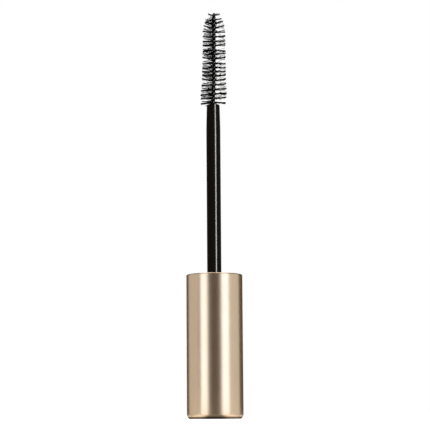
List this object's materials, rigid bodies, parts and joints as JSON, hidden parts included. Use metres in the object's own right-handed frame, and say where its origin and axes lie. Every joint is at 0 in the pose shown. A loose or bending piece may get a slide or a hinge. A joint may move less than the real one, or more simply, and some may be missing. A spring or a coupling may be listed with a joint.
{
  "type": "mascara wand",
  "caption": "Mascara wand: a satin champagne metal cap, a glossy black stem and a twisted-wire brush with black bristles.",
  "frame": {"origin": "centre of the cap's flat closed end, on which the wand stands", "axes": "+Z along the wand's axis, from the closed end towards the brush; at the lowest row of bristles a filament points along +X"},
  "size_m": [0.0164, 0.0164, 0.1212],
  "materials": {
    "champagne_metal": "satin anodised",
    "liner_plastic": "moulded",
    "seal_foam": "matte foam",
    "stem_plastic": "glossy",
    "wire_steel": "blackened",
    "bristle_nylon": "satin"
  },
  "bodies": {
    "root": {"cap_shell": "champagne_metal", "inner_cap": "liner_plastic", "seal_liner": "seal_foam", "stem": "stem_plastic", "brush_wire": "wire_steel", "bristle_row_01": "bristle_nylon", "bristle_row_02": "bristle_nylon", "bristle_row_03": "bristle_nylon", "bristle_row_04": "bristle_nylon", "bristle_row_05": "bristle_nylon", "bristle_row_06": "bristle_nylon", "bristle_row_07": "bristle_nylon", "bristle_row_08": "bristle_nylon", "bristle_row_09": "bristle_nylon", "bristle_row_10": "bristle_nylon", "bristle_row_11": "bristle_nylon", "bristle_row_12": "bristle_nylon", "bristle_row_13": "bristle_nylon", "bristle_row_14": "bristle_nylon", "bristle_row_15": "bristle_nylon", "bristle_row_16": "bristle_nylon", "bristle_row_17": "bristle_nylon", "bristle_row_18": "bristle_nylon", "bristle_row_19": "bristle_nylon", "bristle_row_20": "bristle_nylon", "bristle_row_21": "bristle_nylon"}
  },
  "joints": []
}
